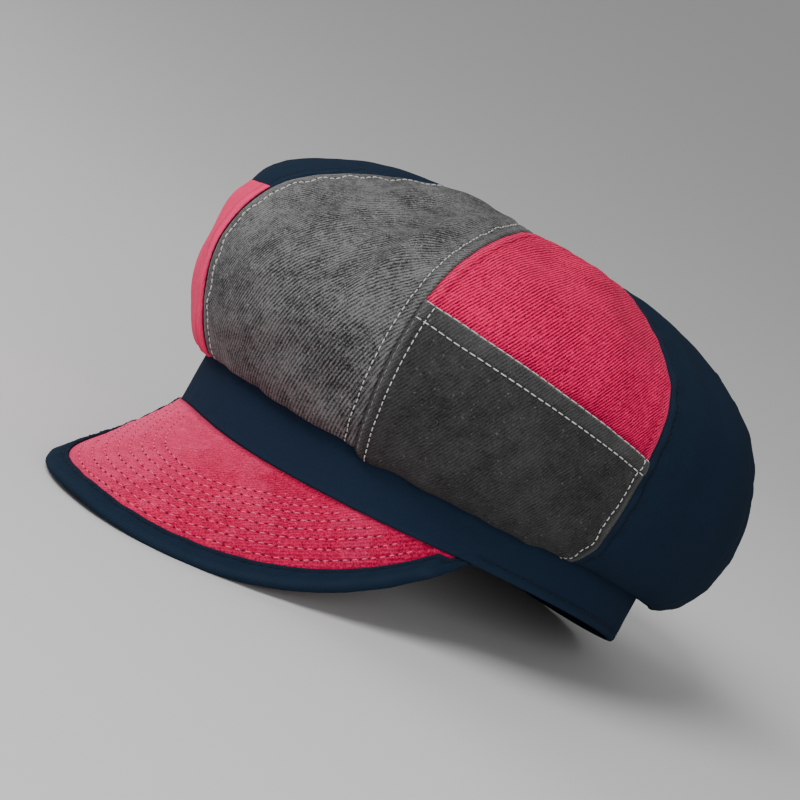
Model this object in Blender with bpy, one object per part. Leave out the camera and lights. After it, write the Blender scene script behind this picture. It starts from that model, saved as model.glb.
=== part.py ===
"""A soft panelled cap with a stitched peak, lying on a flat surface.

Metres, +Z up, the peak towards -Y and the wearer's left towards +X. The cap is drawn level, in its own
frame: the origin is the middle of the headband, z = 0 is the middle height of the headband's lower edge,
and an azimuth is an angle round the headband, 0 at the peak and 90 at the wearer's left. The finished
points are then laid on the floor, where the cap rests on its peak and the back of its headband.
"""

import math
from collections import namedtuple

import bmesh
import bpy
import numpy as np

# Headband: an upright cloth ring, measured outside
BAND_LENGTH = 0.206
BAND_WIDTH = 0.174
BAND_HEIGHT = 0.030
BAND_WALL = 0.0024
HEM_TILT = 0.0058  # the lower edge is this much higher at the peak, and lower at the back, than level
HEM_EAR_ARCH = 0.0041  # and rises this much over each ear, falling as much at the front and back
HEM_RIPPLE = 0.0005  # small three-lobed wave left by the peak's pull
HEM_SAG = 0.0052  # the lower edge sags this much at the peak's end on the wearer's right
HEM_SAG_AZIMUTH = -52.0
HEM_SAG_SPREAD = 20.0

# Crown: seven cloth gores that meet in a shallow dimple
CROWN_RISE = 0.084  # from the headband's top to the highest ring of the crown
CROWN_OVERHANG = 0.026  # how far the belly of the crown stands out past the headband
CROWN_WALL = 0.0016
TOP_RING_INSET = 0.45  # the highest ring's place, as a share of the way from the headband to the middle
CROWN_MIDDLE_Y = 0.0025  # the gores meet slightly behind the middle of the headband
DIMPLE_DEPTH = 0.0034  # the middle's depth below the highest ring
MIDDLE_HOLE_RADIUS = 0.0015
GORE_PUFF = 0.0016  # each gore swells this much between its seams
FOLD_DEPTH = 0.0030

# Pockets: a flat patch on each side gore, open at the top
POCKET_DEPTH_FRONT = 0.062  # measured on the cloth, up from the crown's lowest fold
POCKET_DEPTH_BACK = 0.0475
POCKET_RIGHT_RISE = 0.008  # the front end of the right pocket's mouth is this much higher
POCKET_WALL = 0.0012
POCKET_TURN_UNDER = 0.0030  # the patch runs on this far under the fold

# Peak: a stiff crescent that leaves the headband forwards and downwards
PEAK_REACH = 0.0612  # level distance from the headband to the edge of the binding
PEAK_HALF_ANGLE = 58.8  # azimuth of each end
PEAK_SLOPE = 28.6  # degrees below level at the middle
PEAK_SIDE_SLOPE = 33.9  # added to that towards each end
PEAK_TWIST = 3.1  # added at the wearer's left end, and taken off at the right
PEAK_WALL = 0.0016
PEAK_TUCK = 0.0016  # how far the board's inner edge runs under the headband
PEAK_END_REACH = 0.0026  # the board stops where it gets narrower than this
PEAK_OUTLINE_POWER = 2.37  # roundness of the outline: its fullness near the middle
PEAK_CORNER_POWER = 1.48  # and its taper near each end

# Binding: a folded strip round the peak's edge
BINDING_WIDTH = 0.0080  # on top, from its seam to its outer edge
BINDING_WALL = 0.0010
BINDING_END_REACH = 0.0012  # the strip runs on past the board's ends until the peak is this narrow

# Fits
CLEARANCE = 0.0003  # between pieces that are sewn face to face
SEAM_GAP = 0.0004  # between neighbouring gores
FLOOR_SINK = 0.0005  # cloth that would reach this far below the floor is pressed flat on it

# Fineness of the faceted solids
GORE_COLUMNS = 8
RIM_ROWS = 1
UNDER_ROWS = 3
LOWER_ROWS = 7
UPPER_ROWS = 8
LOWER_ROW_GRADING = 1.5  # above 1, rows crowd towards the fold
UPPER_ROW_GRADING = 1.25  # above 1, rows crowd towards the shoulder
BAND_SEGMENTS = 56
BAND_ROWS = 2
PEAK_COLUMNS = 26
PEAK_END_COLUMNS = 2
PEAK_ROWS = 3
EDGE_ARC_STEPS = 4
PATH_STEPS = 10

# Crown sections at five azimuths, the same left and right. An out column is a share of CROWN_OVERHANG
# beyond the headband, and an up column a share of CROWN_RISE above the headband's top.
Section = namedtuple(
    "Section",
    "azimuth fold_out fold_up low_out low_up belly_out belly_up shoulder_out shoulder_up top_up",
)
CROWN_SECTIONS = (
    Section(0, 0.10, -0.107, 0.52, 0.018, 0.96, 0.351, 0.42, 0.643, 1.007),
    Section(45, 0.12, -0.095, 0.46, 0.015, 0.72, 0.343, 0.46, 0.720, 1.005),
    Section(90, 0.18, -0.101, 0.53, -0.004, 0.62, 0.336, 0.25, 0.690, 0.992),
    Section(135, 0.24, -0.181, 0.78, -0.038, 0.94, 0.315, 0.24, 0.744, 0.976),
    Section(180, 0.25, -0.200, 0.85, -0.043, 1.04, 0.262, 0.24, 0.750, 0.995),
)

# Soft folds of the gores. across runs over a gore from seam to seam, and along runs up the cloth from
# the fold to the middle. wide and long are the fold's half sizes, and lift is a share of FOLD_DEPTH.
Fold = namedtuple("Fold", "gore across along wide long lift")
FOLDS = (
    Fold("gore_front", 0.80, 0.34, 0.09, 0.30, 0.60),
    Fold("gore_front", 0.60, 0.42, 0.10, 0.26, -0.55),
    Fold("gore_front", 0.22, 0.30, 0.12, 0.16, -0.45),
    Fold("gore_front", 0.40, 0.62, 0.16, 0.10, 0.35),
    Fold("gore_left_side", 0.30, 0.60, 0.10, 0.09, -0.50),
    Fold("gore_left_side", 0.62, 0.66, 0.14, 0.10, 0.45),
    Fold("gore_left_side", 0.18, 0.20, 0.12, 0.14, -0.45),
    Fold("gore_left_rear", 0.35, 0.26, 0.14, 0.14, -0.55),
    Fold("gore_left_rear", 0.62, 0.52, 0.14, 0.16, 0.45),
    Fold("gore_left_back", 0.50, 0.30, 0.14, 0.16, -0.50),
    Fold("gore_right_back", 0.45, 0.34, 0.14, 0.14, -0.50),
    Fold("gore_right_rear", 0.50, 0.24, 0.14, 0.16, -0.55),
    Fold("gore_right_rear", 0.40, 0.56, 0.16, 0.12, 0.40),
    Fold("gore_right_side", 0.70, 0.22, 0.12, 0.16, -0.45),
    Fold("gore_right_side", 0.40, 0.60, 0.14, 0.10, 0.40),
)

# Gores in order round the crown, from the peak towards the wearer's left, with their cloth
GORES = (
    ("gore_front", "grey_twill"),
    ("gore_left_side", "pink_twill"),
    ("gore_left_rear", "navy_twill"),
    ("gore_left_back", "navy_twill"),
    ("gore_right_back", "navy_twill"),
    ("gore_right_rear", "navy_twill"),
    ("gore_right_side", "navy_twill"),
)
POCKETS = (("pocket_left", 1, "grey_twill"), ("pocket_right", 6, "pink_twill"))

# Linear colour and roughness of each cloth
CLOTHS = {
    "grey_twill": ((0.115, 0.115, 0.115, 1.0), 0.90),
    "pink_twill": ((0.620, 0.070, 0.135, 1.0), 0.90),
    "navy_twill": ((0.010, 0.022, 0.040, 1.0), 0.88),
}

GORE_ANGLE = 360.0 / len(GORES)


# The curves that the pieces follow


def band_outline(azimuth, inset=0.0):
    """Points of the headband's outline in plan, moved inwards by inset."""
    turn = np.radians(azimuth)
    across = (BAND_WIDTH / 2 - inset) * np.sin(turn)
    forward = (BAND_LENGTH / 2 - inset) * np.cos(turn)
    return np.stack([across, -forward], axis=-1)


def hem_height(azimuth):
    """Height of the headband's lower edge."""
    turn = np.radians(azimuth)
    level = HEM_TILT * np.cos(turn) - HEM_EAR_ARCH * np.cos(2 * turn) - HEM_RIPPLE * np.cos(3 * turn)
    from_sag = (azimuth - HEM_SAG_AZIMUTH + 180.0) % 360.0 - 180.0
    return level - HEM_SAG * np.exp(-((from_sag / HEM_SAG_SPREAD) ** 2))


def section_at(azimuth):
    """The crown section at any azimuth, by the even wave that passes through the table's rows."""
    table = np.array(CROWN_SECTIONS, float)
    waves = np.arange(len(CROWN_SECTIONS))
    weights = np.linalg.solve(np.cos(np.radians(np.outer(table[:, 0], waves))), table)
    return Section(*(np.cos(np.radians(azimuth * waves)) @ weights))


def smooth_path(knots, steps):
    """A smooth line through the knots, with this many steps from each knot to the next."""
    knots = np.asarray(knots, float)
    padded = np.vstack([2 * knots[0] - knots[1], knots, 2 * knots[-1] - knots[-2]])
    before, start, end, after = padded[:-3], padded[1:-2], padded[2:-1], padded[3:]

    def spacing(a, b):
        return np.sqrt(np.linalg.norm(b - a, axis=1, keepdims=True))

    first, middle, last = spacing(before, start), spacing(start, end), spacing(end, after)
    leave = (end - start) + middle * ((start - before) / first - (end - before) / (first + middle))
    arrive = (end - start) + middle * ((after - end) / last - (after - start) / (middle + last))
    u = np.linspace(0, 1, steps, endpoint=False)[None, :, None]
    line = (
        (2 * u**3 - 3 * u**2 + 1) * start[:, None]
        + (u**3 - 2 * u**2 + u) * leave[:, None]
        + (3 * u**2 - 2 * u**3) * end[:, None]
        + (u**3 - u**2) * arrive[:, None]
    )
    return np.vstack([line.reshape(-1, knots.shape[1]), knots[-1:]])


def crown_middle():
    return np.array([0.0, CROWN_MIDDLE_Y])


def crown_path(azimuth):
    """One gore line as rows of (distance beyond the headband, height), and the length at each knot.

    The line starts on the headband's top, turns out and down to the crown's lowest fold, and runs up
    over the belly and the shoulder to the highest ring and the middle."""
    s = section_at(azimuth)
    to_middle = np.linalg.norm(band_outline(azimuth) - crown_middle())
    seat = BAND_HEIGHT + CLEARANCE
    knots = [
        (-BAND_WALL * 0.8, seat + 0.2 * CLEARANCE),
        (BAND_WALL * 0.25, seat),
        (s.fold_out * CROWN_OVERHANG, BAND_HEIGHT + s.fold_up * CROWN_RISE),
        (s.low_out * CROWN_OVERHANG, BAND_HEIGHT + s.low_up * CROWN_RISE),
        (s.belly_out * CROWN_OVERHANG, BAND_HEIGHT + s.belly_up * CROWN_RISE),
        (s.shoulder_out * CROWN_OVERHANG, BAND_HEIGHT + s.shoulder_up * CROWN_RISE),
        (-TOP_RING_INSET * to_middle, BAND_HEIGHT + s.top_up * CROWN_RISE),
        (MIDDLE_HOLE_RADIUS - to_middle, BAND_HEIGHT + CROWN_RISE - DIMPLE_DEPTH),
    ]
    path = smooth_path(knots, PATH_STEPS)
    steps = np.linalg.norm(np.diff(path, axis=0), axis=1)
    length = np.concatenate([[0.0], np.cumsum(steps)])
    return path, length, length[::PATH_STEPS]


def pocket_depth(azimuth):
    """Cloth length from the crown's fold up to the pocket's mouth."""
    from_front = (azimuth + 180.0) % 360.0 - 180.0
    to_right = np.clip((GORE_ANGLE / 2 - from_front) / GORE_ANGLE, 0.0, 1.0)
    front = POCKET_DEPTH_FRONT + to_right * POCKET_RIGHT_RISE
    share = np.clip((abs(from_front) - GORE_ANGLE / 2) / GORE_ANGLE, 0.0, 1.0)
    return front + share * (POCKET_DEPTH_BACK - front)


def row_lengths(azimuth, knot_length):
    """Where the rows of a gore lie along its line: one of them follows the pocket's mouth."""
    rim, fold, end = knot_length[1], knot_length[2], knot_length[-1]
    mouth = fold + pocket_depth(azimuth)
    return np.concatenate(
        [
            np.linspace(0, rim, RIM_ROWS, endpoint=False),
            np.linspace(rim, fold, UNDER_ROWS, endpoint=False),
            fold + (mouth - fold) * (np.arange(LOWER_ROWS) / LOWER_ROWS) ** LOWER_ROW_GRADING,
            mouth + (end - mouth) * np.linspace(0, 1, UPPER_ROWS + 1) ** UPPER_ROW_GRADING,
        ]
    )


def gore_line(azimuth):
    """One column of a gore: points in the cap's frame, and how far along the cloth each lies."""
    path, length, knot_length = crown_path(azimuth)
    rows = row_lengths(azimuth, knot_length)
    out = np.interp(rows, length, path[:, 0])
    height = np.interp(rows, length, path[:, 1])
    rim = band_outline(azimuth)
    outwards = (rim - crown_middle()) / np.linalg.norm(rim - crown_middle())
    plan = rim + out[:, None] * outwards
    along = (rows - knot_length[2]) / (knot_length[-1] - knot_length[2])
    return np.column_stack([plan, height]), along


def gore_swell(name, across, along):
    """How far a gore stands off its plain surface: its puff and its soft folds."""
    rising = np.clip(along / 0.25, 0, 1) * np.clip((1 - along) / 0.35, 0, 1)
    swell = GORE_PUFF * np.sin(math.pi * across) * rising
    for fold in FOLDS:
        if fold.gore == name:
            off = ((across - fold.across) / fold.wide) ** 2 + ((along - fold.along) / fold.long) ** 2
            swell = swell + FOLD_DEPTH * fold.lift * np.exp(-off) * rising
    return swell


def gore_grid(index):
    """Columns of points on the outside of a gore, and the outward direction at each."""
    share = np.arange(-1, GORE_COLUMNS + 2) / GORE_COLUMNS
    azimuths = (index - 0.5 + share) * GORE_ANGLE
    lines = [gore_line(azimuth) for azimuth in azimuths]
    points = np.array([line for line, _ in lines])
    along = np.array([rows for _, rows in lines])
    normal = np.cross(np.gradient(points, axis=0), np.gradient(points, axis=1))
    normal /= np.linalg.norm(normal, axis=2, keepdims=True)
    swell = gore_swell(GORES[index][0], share[:, None], along)
    plan = band_outline(azimuths) - crown_middle()
    plan /= np.linalg.norm(plan, axis=1, keepdims=True)
    sideways = np.column_stack([-plan[:, 1], plan[:, 0], np.zeros(len(plan))])
    inset = SEAM_GAP / 2 * (1 - 2 * share)
    points = points + swell[:, :, None] * normal + (inset[:, None] * sideways)[:, None, :]
    return points[1:-1], normal[1:-1]


def peak_share(azimuth):
    """0 at the middle of the peak and 1 at each end."""
    return np.clip(np.abs(azimuth) / PEAK_HALF_ANGLE, 0, 1)


def peak_point(azimuth, reach):
    """A point on top of the peak, this far in front of the headband's outline."""
    twist = PEAK_TWIST * azimuth / PEAK_HALF_ANGLE
    drop = reach * math.tan(math.radians(PEAK_SLOPE + PEAK_SIDE_SLOPE * peak_share(azimuth) ** 2 + twist))
    rim = band_outline(azimuth)
    return np.array([rim[0], rim[1] - reach, hem_height(azimuth) - CLEARANCE - drop])


def peak_up(azimuth, reach):
    """The direction square to the peak's top surface."""
    forward = peak_point(azimuth, reach + 1e-4) - peak_point(azimuth, reach)
    side = peak_point(azimuth + 0.1, reach) - peak_point(azimuth - 0.1, reach)
    up = np.cross(side, -forward)
    return up / np.linalg.norm(up)


def board_reach(azimuth):
    """Level distance from the headband to the edge of the peak's board, inside its binding."""
    whole = PEAK_REACH * (1 - peak_share(azimuth) ** PEAK_OUTLINE_POWER) ** PEAK_CORNER_POWER
    return whole - (CLEARANCE + BINDING_WALL)


def azimuth_of_reach(reach):
    """The azimuth at which the board has narrowed to this reach."""
    low, high = 0.0, PEAK_HALF_ANGLE
    for _ in range(40):
        middle = (low + high) / 2
        if board_reach(middle) > reach:
            low = middle
        else:
            high = middle
    return low


def edge_frame(azimuth):
    """The point on the board's top edge, the direction along the edge, up and outwards."""
    reach = board_reach(azimuth)
    ahead = peak_point(azimuth + 0.1, board_reach(azimuth + 0.1))
    behind = peak_point(azimuth - 0.1, board_reach(azimuth - 0.1))
    along = (ahead - behind) / np.linalg.norm(ahead - behind)
    up = peak_up(azimuth, reach)
    return peak_point(azimuth, reach), along, up, np.cross(along, up)


def binding_inner_reach(azimuth):
    """Where the binding's top flap ends, so that it is equally wide all along the edge."""
    reach = board_reach(azimuth)
    point, _, _, outwards = edge_frame(azimuth)
    per_reach = abs(np.dot(peak_point(azimuth, reach + 1e-4) - point, outwards)) / 1e-4
    flap = BINDING_WIDTH - PEAK_WALL / 2 - CLEARANCE - BINDING_WALL
    return max(reach - flap / per_reach, 2 * CLEARANCE)


def peak_azimuths():
    """Columns of the peak: evenly over the board, and a few more out to the binding's ends."""
    board_end = azimuth_of_reach(PEAK_END_REACH)
    binding_end = azimuth_of_reach(BINDING_END_REACH)
    middle = np.linspace(-board_end, board_end, PEAK_COLUMNS + 1)
    beyond = np.linspace(board_end, binding_end, PEAK_END_COLUMNS + 1)[1:]
    return np.concatenate([-beyond[::-1], middle, beyond])


def board_rows(azimuth):
    edge = board_reach(azimuth)
    flap = binding_inner_reach(azimuth)
    near = np.linspace(0, flap, PEAK_ROWS, endpoint=False)
    return np.concatenate([near, [flap, (flap + edge) / 2, edge]])


# Building the solids


def cloth_material(name):
    material = bpy.data.materials.get(name) or bpy.data.materials.new(name)
    colour, roughness = CLOTHS[name]
    material.use_nodes = True
    shader = material.node_tree.nodes["Principled BSDF"]
    shader.inputs["Base Color"].default_value = colour
    shader.inputs["Roughness"].default_value = roughness
    shader.inputs["Metallic"].default_value = 0.0
    material.diffuse_color = colour
    return material


def cloth_piece(name, outside, inside, cloth, ring=False):
    """A closed solid between two like grids of points, each a list of columns running upwards."""
    outside, inside = np.asarray(outside), np.asarray(inside)
    columns, rows = outside.shape[:2]
    body = bmesh.new()
    outer = [[body.verts.new(point) for point in column] for column in outside]
    inner = [[body.verts.new(point) for point in column] for column in inside]
    for i in range(columns if ring else columns - 1):
        k = (i + 1) % columns
        for j in range(rows - 1):
            body.faces.new((outer[i][j], outer[k][j], outer[k][j + 1], outer[i][j + 1]))
            body.faces.new((inner[i][j], inner[i][j + 1], inner[k][j + 1], inner[k][j]))
        body.faces.new((inner[i][0], inner[k][0], outer[k][0], outer[i][0]))
        body.faces.new((outer[i][-1], outer[k][-1], inner[k][-1], inner[i][-1]))
    if not ring:
        for j in range(rows - 1):
            body.faces.new((inner[0][j], outer[0][j], outer[0][j + 1], inner[0][j + 1]))
            body.faces.new((outer[-1][j], inner[-1][j], inner[-1][j + 1], outer[-1][j + 1]))
    mesh = bpy.data.meshes.new(name)
    body.to_mesh(mesh)
    body.free()
    mesh.materials.append(cloth_material(cloth))
    mesh.shade_smooth()
    return bpy.data.objects.new(name, mesh)


def headband_grids():
    outside = []
    inside = []
    for azimuth in np.arange(BAND_SEGMENTS) * 360.0 / BAND_SEGMENTS:
        heights = np.linspace(hem_height(azimuth), BAND_HEIGHT, BAND_ROWS + 1)
        outside.append([(*band_outline(azimuth), height) for height in heights])
        inside.append([(*band_outline(azimuth, BAND_WALL), height) for height in heights])
    return np.array(outside), np.array(inside)


def gore_grids(index):
    points, normal = gore_grid(index)
    return points, points - CROWN_WALL * normal


def pocket_grids(index):
    """A patch lying on the lower part of a gore, from just under the fold up to the pocket's mouth."""
    points, normal = gore_grid(index)
    first = RIM_ROWS + UNDER_ROWS - 1
    last = RIM_ROWS + UNDER_ROWS + LOWER_ROWS
    points, normal = points[:, first : last + 1].copy(), normal[:, first : last + 1].copy()
    length = np.linalg.norm(points[:, 1] - points[:, 0], axis=1, keepdims=True)
    share = np.minimum(POCKET_TURN_UNDER / length, 1.0)
    points[:, 0] = points[:, 1] + share * (points[:, 0] - points[:, 1])
    normal[:, 0] = normal[:, 1] + share * (normal[:, 0] - normal[:, 1])
    return points + (CLEARANCE + POCKET_WALL) * normal, points + CLEARANCE * normal


def peak_grids():
    """The board of the peak. Its inner edge is tucked under the headband, most at the middle."""
    top = []
    bottom = []
    for azimuth in peak_azimuths()[PEAK_END_COLUMNS:-PEAK_END_COLUMNS][::-1]:
        tuck = CLEARANCE + PEAK_TUCK * (1 - peak_share(azimuth) ** 2)
        under = band_outline(azimuth, tuck)
        tucked = np.array([under[0], under[1], hem_height(azimuth) - CLEARANCE])
        rows = board_rows(azimuth)
        above = [tucked] + [peak_point(azimuth, reach) for reach in rows]
        ups = [peak_up(azimuth, reach) for reach in [0.0, *rows]]
        top.append(above)
        bottom.append([point - PEAK_WALL * up for point, up in zip(above, ups)])
    return np.array(top), np.array(bottom)


def binding_grids():
    """The folded strip: along the top of the board, round its edge and back along its underside."""
    outside = []
    inside = []
    for azimuth in peak_azimuths()[::-1]:
        section = []
        for reach in board_rows(azimuth)[-3:]:
            point, up = peak_point(azimuth, reach), peak_up(azimuth, reach)
            section.append((point - up * PEAK_WALL / 2, up))
        edge, _, up, outwards = edge_frame(azimuth)
        heart = edge - up * PEAK_WALL / 2
        for k in range(1, EDGE_ARC_STEPS):
            turn = math.pi * k / EDGE_ARC_STEPS
            section.append((heart, math.cos(turn) * up + math.sin(turn) * outwards))
        section += [(middle, -way) for middle, way in section[2::-1]]
        far = PEAK_WALL / 2 + CLEARANCE + BINDING_WALL
        near = PEAK_WALL / 2 + CLEARANCE
        outside.append([middle + far * way for middle, way in section])
        inside.append([middle + near * way for middle, way in section])
    return np.array(outside), np.array(inside)


# Setting the cap down


def laid(points, tilt, lean):
    """Points of the level cap, leaned about the Y axis and then tilted back about the X axis."""
    x, y, z = points[..., 0], points[..., 1], points[..., 2]
    side = x * math.cos(lean) + z * math.sin(lean)
    rise = z * math.cos(lean) - x * math.sin(lean)
    back = y * math.cos(tilt) + rise * math.sin(tilt)
    height = rise * math.cos(tilt) - y * math.sin(tilt)
    return np.stack([side, back, height], axis=-1)


def balance(is_too_small, limit):
    """The angle between plus and minus limit at which is_too_small stops being true."""
    low, high = -limit, limit
    for _ in range(40):
        middle = (low + high) / 2
        if is_too_small(middle):
            low = middle
        else:
            high = middle
    return low


def rest_angles(band, binding):
    """The tilt and lean at which the back of the headband and both sides of the peak are equally low."""
    left = binding[binding[..., 0] > 0]
    right = binding[binding[..., 0] < 0]

    def lowest(points, tilt, lean):
        return laid(points, tilt, lean)[..., 2].min()

    def tilt_for(lean):
        return balance(lambda tilt: lowest(binding, tilt, lean) < lowest(band, tilt, lean), math.radians(40))

    def leans_left(lean):
        tilt = tilt_for(lean)
        return lowest(left, tilt, lean) > lowest(right, tilt, lean)

    lean = balance(leans_left, math.radians(6))
    return tilt_for(lean), lean


def main():
    for thing in list(bpy.data.objects):
        bpy.data.objects.remove(thing)

    pieces = [
        ("headband", headband_grids(), "navy_twill"),
        ("peak", peak_grids(), "pink_twill"),
        ("peak_binding", binding_grids(), "navy_twill"),
    ]
    pieces += [(name, gore_grids(index), cloth) for index, (name, cloth) in enumerate(GORES)]
    pieces += [(name, pocket_grids(index), cloth) for name, index, cloth in POCKETS]

    band, binding = pieces[0][1][0], pieces[2][1][0]
    tilt, lean = rest_angles(band, binding)
    floor = laid(band, tilt, lean)[..., 2].min() + FLOOR_SINK
    everything = np.vstack([grid.reshape(-1, 3) for _, grids, _ in pieces for grid in grids])
    everything = laid(everything, tilt, lean)
    middle = (everything.min(axis=0) + everything.max(axis=0)) / 2
    shift = np.array([middle[0], middle[1], floor])

    collection = bpy.data.collections.new("panelled_cap")
    bpy.context.scene.collection.children.link(collection)
    for name, grids, cloth in pieces:
        outside, inside = (laid(grid, tilt, lean) - shift for grid in grids)
        outside[..., 2] = np.maximum(outside[..., 2], 0.0)
        inside[..., 2] = np.maximum(inside[..., 2], 0.0)
        collection.objects.link(cloth_piece(name, outside, inside, cloth, ring=name == "headband"))


main()
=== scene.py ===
import math
from collections import namedtuple

import bmesh
import bpy
import numpy as np
from mathutils import Matrix


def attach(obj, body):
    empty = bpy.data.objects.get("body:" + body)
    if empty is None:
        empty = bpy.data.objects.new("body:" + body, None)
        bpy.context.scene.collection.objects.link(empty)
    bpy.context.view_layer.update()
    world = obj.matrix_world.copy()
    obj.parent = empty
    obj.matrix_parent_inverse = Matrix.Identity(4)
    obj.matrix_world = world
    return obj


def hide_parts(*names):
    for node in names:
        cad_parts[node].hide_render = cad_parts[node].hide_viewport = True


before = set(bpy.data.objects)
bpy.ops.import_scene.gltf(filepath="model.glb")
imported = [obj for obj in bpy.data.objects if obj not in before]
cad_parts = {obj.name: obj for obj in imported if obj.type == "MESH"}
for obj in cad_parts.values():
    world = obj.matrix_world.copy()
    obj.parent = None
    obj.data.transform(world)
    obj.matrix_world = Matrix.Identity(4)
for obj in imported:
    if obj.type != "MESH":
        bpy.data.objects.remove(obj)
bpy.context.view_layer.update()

# The cap's named sizes, as in the CAD part, in metres and degrees
BAND_LENGTH = 0.206
BAND_WIDTH = 0.174
BAND_HEIGHT = 0.030
BAND_WALL = 0.0024
BAND_SEGMENTS = 56
HEM_TILT = 0.0058
HEM_EAR_ARCH = 0.0041
HEM_RIPPLE = 0.0005
HEM_SAG = 0.0052
HEM_SAG_AZIMUTH = -52.0
HEM_SAG_SPREAD = 20.0
CROWN_RISE = 0.084
CROWN_OVERHANG = 0.026
CROWN_WALL = 0.0016
TOP_RING_INSET = 0.45
CROWN_MIDDLE_Y = 0.0025
DIMPLE_DEPTH = 0.0034
MIDDLE_HOLE_RADIUS = 0.0003  # the cloth closes the hole that the solids leave
GORE_PUFF = 0.0016
FOLD_DEPTH = 0.0030
POCKET_DEPTH_FRONT = 0.062
POCKET_DEPTH_BACK = 0.0475
POCKET_RIGHT_RISE = 0.008
POCKET_WALL = 0.0012
PEAK_REACH = 0.0612
PEAK_HALF_ANGLE = 58.8
PEAK_SLOPE = 28.6
PEAK_SIDE_SLOPE = 33.9
PEAK_TWIST = 3.1
PEAK_WALL = 0.0016
PEAK_TUCK = 0.0016
PEAK_END_REACH = 0.0026
PEAK_OUTLINE_POWER = 2.37
PEAK_CORNER_POWER = 1.48
BINDING_WIDTH = 0.0080
BINDING_WALL = 0.0010
BINDING_END_REACH = 0.0012
CLEARANCE = 0.0003
SEAM_GAP = 0.00004  # the cloth nearly closes the solids' gap
PATH_STEPS = 10

Section = namedtuple(
    "Section",
    "azimuth fold_out fold_up low_out low_up belly_out belly_up shoulder_out shoulder_up top_up",
)
CROWN_SECTIONS = (
    Section(0, 0.10, -0.107, 0.52, 0.018, 0.96, 0.351, 0.42, 0.643, 1.007),
    Section(45, 0.12, -0.095, 0.46, 0.015, 0.72, 0.343, 0.46, 0.720, 1.005),
    Section(90, 0.18, -0.101, 0.53, -0.004, 0.62, 0.336, 0.25, 0.690, 0.992),
    Section(135, 0.24, -0.181, 0.78, -0.038, 0.94, 0.315, 0.24, 0.744, 0.976),
    Section(180, 0.25, -0.200, 0.85, -0.043, 1.04, 0.262, 0.24, 0.750, 0.995),
)

Fold = namedtuple("Fold", "gore across along wide long lift")
FOLDS = (
    Fold("gore_front", 0.80, 0.34, 0.09, 0.30, 0.60),
    Fold("gore_front", 0.60, 0.42, 0.10, 0.26, -0.55),
    Fold("gore_front", 0.22, 0.30, 0.12, 0.16, -0.45),
    Fold("gore_front", 0.40, 0.62, 0.16, 0.10, 0.35),
    Fold("gore_left_side", 0.30, 0.60, 0.10, 0.09, -0.50),
    Fold("gore_left_side", 0.62, 0.66, 0.14, 0.10, 0.45),
    Fold("gore_left_side", 0.18, 0.20, 0.12, 0.14, -0.45),
    Fold("gore_left_rear", 0.35, 0.26, 0.14, 0.14, -0.55),
    Fold("gore_left_rear", 0.62, 0.52, 0.14, 0.16, 0.45),
    Fold("gore_left_back", 0.50, 0.30, 0.14, 0.16, -0.50),
    Fold("gore_right_back", 0.45, 0.34, 0.14, 0.14, -0.50),
    Fold("gore_right_rear", 0.50, 0.24, 0.14, 0.16, -0.55),
    Fold("gore_right_rear", 0.40, 0.56, 0.16, 0.12, 0.40),
    Fold("gore_right_side", 0.70, 0.22, 0.12, 0.16, -0.45),
    Fold("gore_right_side", 0.40, 0.60, 0.14, 0.10, 0.40),
)

# Finer creases that only the dressed cap has
CREASES = (
    Fold("gore_front", 0.81, 0.36, 0.040, 0.26, 0.30),
    Fold("gore_front", 0.73, 0.38, 0.045, 0.24, -0.34),
    Fold("gore_front", 0.89, 0.42, 0.035, 0.30, -0.22),
    Fold("gore_front", 0.70, 0.12, 0.06, 0.10, 0.30),
    Fold("gore_front", 0.45, 0.10, 0.05, 0.09, 0.22),
    Fold("gore_front", 0.30, 0.52, 0.05, 0.10, -0.18),
    Fold("gore_left_side", 0.40, 0.52, 0.05, 0.07, -0.22),
    Fold("gore_left_side", 0.52, 0.58, 0.06, 0.05, 0.20),
    Fold("gore_left_side", 0.75, 0.50, 0.05, 0.08, -0.18),
    Fold("gore_left_side", 0.50, 0.08, 0.07, 0.08, 0.25),
    Fold("gore_left_rear", 0.80, 0.34, 0.05, 0.16, -0.25),
    Fold("gore_left_rear", 0.25, 0.60, 0.06, 0.12, 0.20),
)

GORES = (
    ("gore_front", "grey"),
    ("gore_left_side", "pink"),
    ("gore_left_rear", "navy"),
    ("gore_left_back", "navy"),
    ("gore_right_back", "navy"),
    ("gore_right_rear", "navy"),
    ("gore_right_side", "navy"),
)
GORE_ANGLE = 360.0 / len(GORES)
LEFT_SIDE = 1
RIGHT_SIDE = 6

# How the dressed cloth differs from the plain solids, in metres
STITCH_INSET = 0.0043  # from a seam to its row of stitches
FRONT_INSET = 0.0066  # the same on the front gore's right side
SEWN_SPAN = 0.0040  # beside a seam, both cloths share their direction over this width
ROLL_DEPTH = 0.00042  # the cloth rolls down into the seam
ROLL_WIDTH = 0.0008
PAD_HEIGHT = 0.00020  # the seam allowance lifts it as far as the row
PAD_SOFTNESS = 0.00030
GROOVE_DEPTH = 0.00028  # the row of stitches draws it down
GROOVE_WIDTH = 0.00055
PUCKER_HEIGHT = 0.00030
PUCKER_SIZE = 0.0105
PUCKER_WIDTH = 0.0042
LUMP_HEIGHT = 0.00030
LUMP_SIZE = 0.024
WRINKLE_HEIGHT = 0.00012
WRINKLE_SIZE = 0.009
HEM_WAVE = 0.00025
HEM_WAVE_SIZE = 0.020
MARK_WIDTH = 0.0006  # of the painted shade along a row
EDGE_LINE = 0.0006  # from a seam to the painted highlight beside it
EDGE_LINE_WIDTH = 0.0005


def bell(distance, width):
    """1 at no distance, falling smoothly away over this width."""
    return np.exp(-((distance / width) ** 2))


def below(value, softness):
    """1 below zero and 0 above it, with a soft step between."""
    return 1 / (1 + np.exp(value / softness))


# Curves shared with the CAD part


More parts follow.
